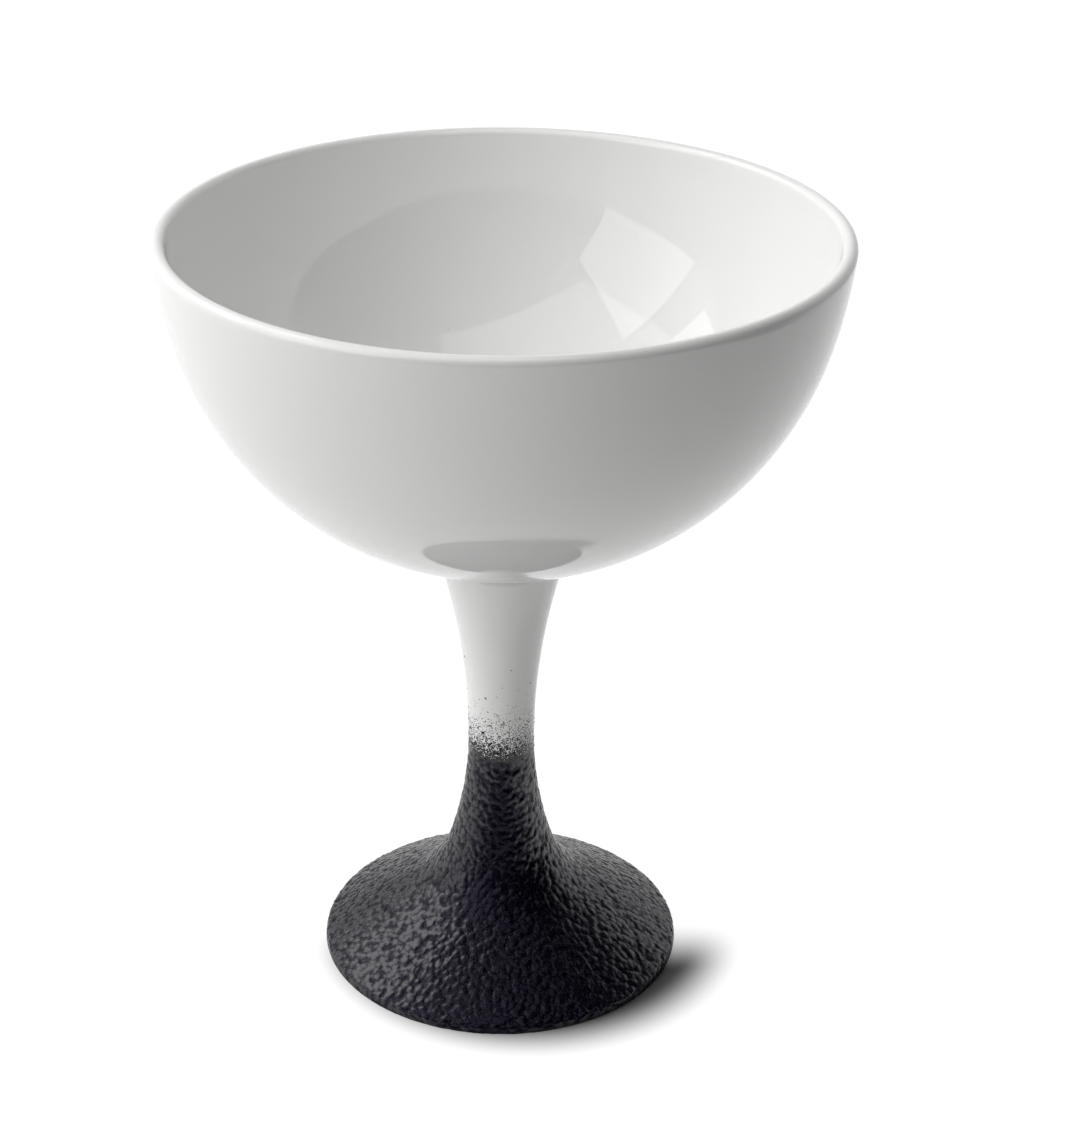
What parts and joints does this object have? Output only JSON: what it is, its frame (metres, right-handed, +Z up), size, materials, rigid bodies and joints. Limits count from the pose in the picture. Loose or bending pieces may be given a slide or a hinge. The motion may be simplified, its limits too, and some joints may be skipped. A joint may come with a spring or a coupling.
{
  "type": "martini glass",
  "caption": "Footed cocktail cup in porcelain: a half-round white glazed bowl on a flared stem, with a conical foot under a rough black coat. It holds a drink.",
  "frame": {"origin": "middle of the foot, on the table", "axes": "+Z up along the cup's axis of revolution; X and Y are alike, and -Y faces the viewer"},
  "size_m": [0.12, 0.12, 0.1436],
  "materials": {
    "bare_porcelain": "matt, unglazed, fine-grained",
    "fired_slip": "matt",
    "white_gloss_glaze": "high gloss, smooth",
    "black_rough_coat": "satin-matt, rough orange-peel texture"
  },
  "bodies": {
    "root": {"bowl": "bare_porcelain", "pedestal": "bare_porcelain", "joining_slip": "fired_slip", "white_glaze": "white_gloss_glaze", "black_coat": "black_rough_coat"}
  },
  "joints": []
}
